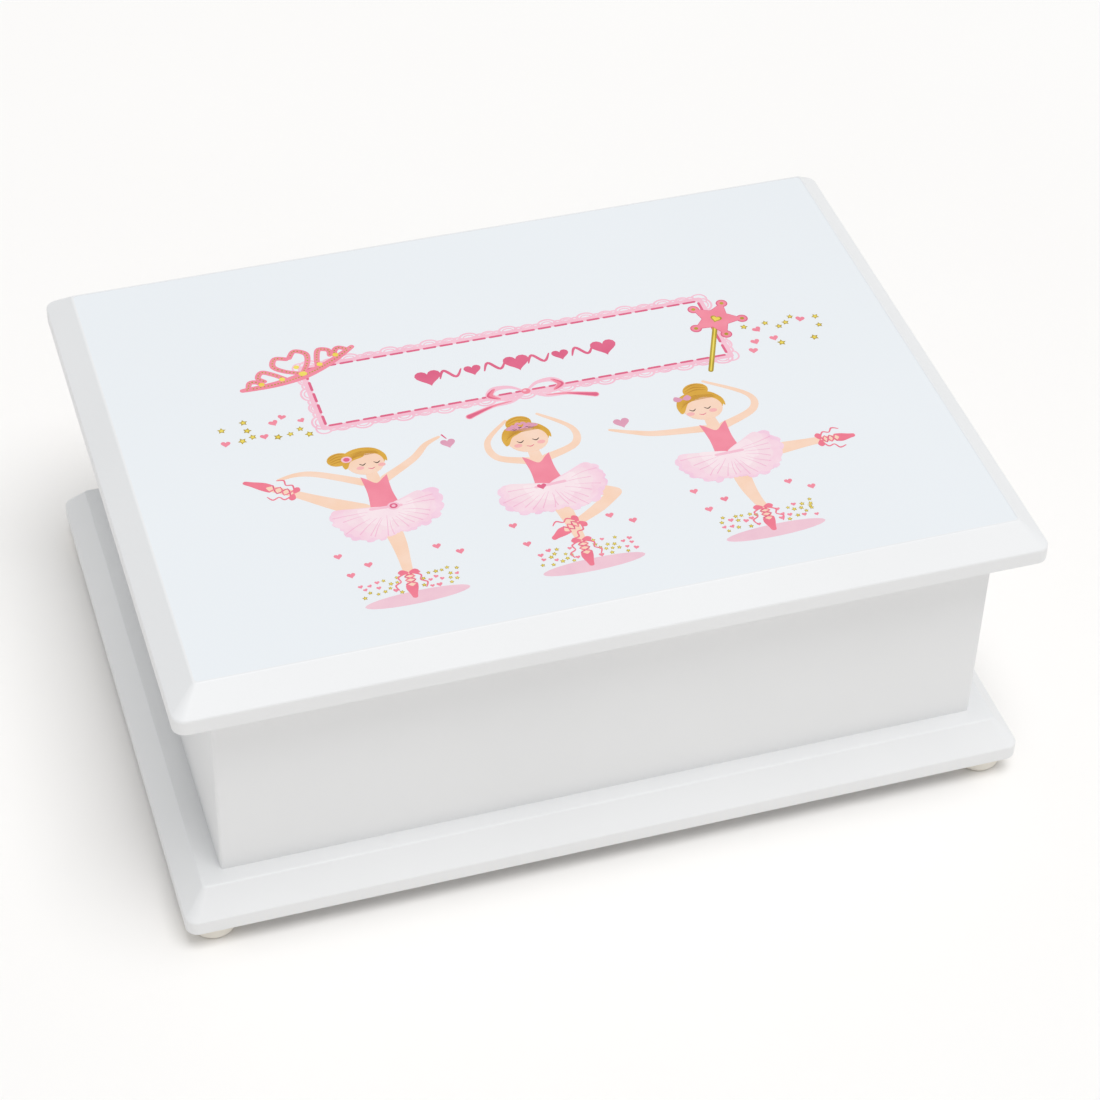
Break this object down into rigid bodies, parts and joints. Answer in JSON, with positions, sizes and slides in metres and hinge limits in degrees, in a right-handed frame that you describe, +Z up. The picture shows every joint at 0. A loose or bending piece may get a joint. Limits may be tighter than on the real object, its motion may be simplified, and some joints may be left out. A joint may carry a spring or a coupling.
{
  "type": "ballerina jewellery box",
  "caption": "Lidded musical jewellery box with lined compartments and a spring-mounted dancer that rises as the lid opens.",
  "frame": {"origin": "centre of the footprint, on the surface that the feet stand on", "axes": "+X to the right along the length, +Y to the hinged back, +Z up"},
  "size_m": [0.242, 0.18, 0.093],
  "materials": {
    "painted_board": "satin white paint",
    "raw_board": "plain board",
    "foot": "moulded",
    "print": "printed film",
    "mirror": "polished",
    "satin": "satin",
    "velvet": "flocked",
    "hinge_brass": "plated",
    "steel": "machined",
    "cast_plate": "die cast",
    "gear_brass": "machined",
    "key_metal": "plated",
    "bumper": "soft clear",
    "spring_wire": "bright wire",
    "figure_plastic": "moulded and painted",
    "tulle": "net"
  },
  "bodies": {
    "case": {"back_wall": "painted_board", "base_board": "painted_board", "base_screws": "steel", "bedplate": "cast_plate", "comb": "steel", "corner_brads": "painted_board", "cylinder_brackets": "cast_plate", "deck_panel": "raw_board", "deck_rails": "raw_board", "divider_front": "raw_board", "divider_left": "raw_board", "divider_right": "raw_board", "foot_back_left": "foot", "foot_back_right": "foot", "foot_front_left": "foot", "foot_front_right": "foot", "front_wall": "painted_board", "governor_bracket": "cast_plate", "hinge_body_leaf_left": "hinge_brass", "hinge_body_leaf_right": "hinge_brass", "hinge_body_screws": "hinge_brass", "hinge_pins": "hinge_brass", "left_wall": "painted_board", "lid_bumpers": "bumper", "lining_left": "velvet", "lining_music": "velvet", "lining_right": "velvet", "lining_ring": "velvet", "movement_screws": "steel", "right_wall": "painted_board", "ring_foam": "velvet", "ring_roll_1": "velvet", "ring_roll_2": "velvet", "ring_roll_3": "velvet", "ring_roll_4": "velvet"},
    "lid": {"lid_board": "painted_board", "lid_print": "print", "mirror": "mirror", "lid_lining": "satin", "hinge_lid_leaf_left": "hinge_brass", "hinge_lid_leaf_right": "hinge_brass", "hinge_lid_screws": "hinge_brass"},
    "barrel": {"spring_barrel": "gear_brass", "barrel_cover": "gear_brass", "mainspring": "steel", "dancer_spindle": "steel", "dancer_spring_base": "spring_wire"},
    "key": {"winding_arbor": "steel", "winding_key": "key_metal"},
    "cylinder": {"pinned_cylinder": "gear_brass", "cylinder_pinion": "gear_brass", "cylinder_wheel": "gear_brass"},
    "governor": {"governor_wheel": "gear_brass"},
    "fan": {"fan_spindle": "steel"},
    "plunger": {"stop_plunger": "steel"},
    "spring_lower": {"dancer_spring_lower": "spring_wire"},
    "spring_upper": {"dancer_spring_upper": "spring_wire"},
    "socket": {"dancer_socket": "spring_wire"},
    "dancer": {"figure": "figure_plastic", "tutu": "tulle"}
  },
  "joints": [
    {"name": "lid_hinge", "type": "hinge", "parent": "case", "child": "lid", "pos_m": [0, 0.0814, 0.08], "axis": [-1, 0, 0], "range_deg": [0, 105]},
    {"name": "barrel_turn", "type": "hinge", "parent": "case", "child": "barrel", "pos_m": [0, 0.046, 0.027], "axis": [0, 0, 1], "continuous": true},
    {"name": "key_wind", "type": "hinge", "parent": "case", "child": "key", "pos_m": [0, 0.046, 0.01], "axis": [0, 0, 1], "continuous": true},
    {"name": "cylinder_turn", "type": "hinge", "parent": "case", "child": "cylinder", "pos_m": [0.0226, 0.046, 0.0285], "axis": [1, 0, 0], "continuous": true},
    {"name": "governor_turn", "type": "hinge", "parent": "case", "child": "governor", "pos_m": [0.034, 0.054, 0.0285], "axis": [1, 0, 0], "continuous": true},
    {"name": "fan_turn", "type": "hinge", "parent": "case", "child": "fan", "pos_m": [0.0348, 0.0592, 0.0285], "axis": [0, 0, 1], "continuous": true},
    {"name": "plunger_slide", "type": "slide", "parent": "case", "child": "plunger", "axis": [0, 0, 1], "range_m": [0, 0.003]},
    {"name": "spring_bend_1", "type": "hinge", "parent": "case", "child": "spring_lower", "pos_m": [0, 0.046, 0.0563], "axis": [-1, 0, 0], "range_deg": [0, 30]},
    {"name": "spring_bend_2", "type": "hinge", "parent": "spring_lower", "child": "spring_upper", "pos_m": [0, 0.0435, 0.06063], "axis": [-1, 0, 0], "range_deg": [0, 30]},
    {"name": "spring_bend_3", "type": "hinge", "parent": "spring_upper", "child": "socket", "pos_m": [0, 0.03917, 0.06313], "axis": [-1, 0, 0], "range_deg": [0, 30]},
    {"name": "dancer_spin", "type": "hinge", "parent": "socket", "child": "dancer", "pos_m": [0, 0.03917, 0.06313], "axis": [0, -1, 0], "continuous": true}
  ],
  "couplings": [
    {"joint": "cylinder_turn", "follows": "barrel_turn", "ratio": 4},
    {"joint": "governor_turn", "follows": "barrel_turn", "ratio": -12},
    {"joint": "fan_turn", "follows": "barrel_turn", "ratio": 192},
    {"joint": "dancer_spin", "follows": "barrel_turn", "ratio": 1},
    {"joint": "plunger_slide", "follows": "lid_hinge", "m_per_rad": 0.0016},
    {"joint": "spring_bend_1", "follows": "lid_hinge", "ratio": 0.2857},
    {"joint": "spring_bend_2", "follows": "lid_hinge", "ratio": 0.2857},
    {"joint": "spring_bend_3", "follows": "lid_hinge", "ratio": 0.2857}
  ]
}
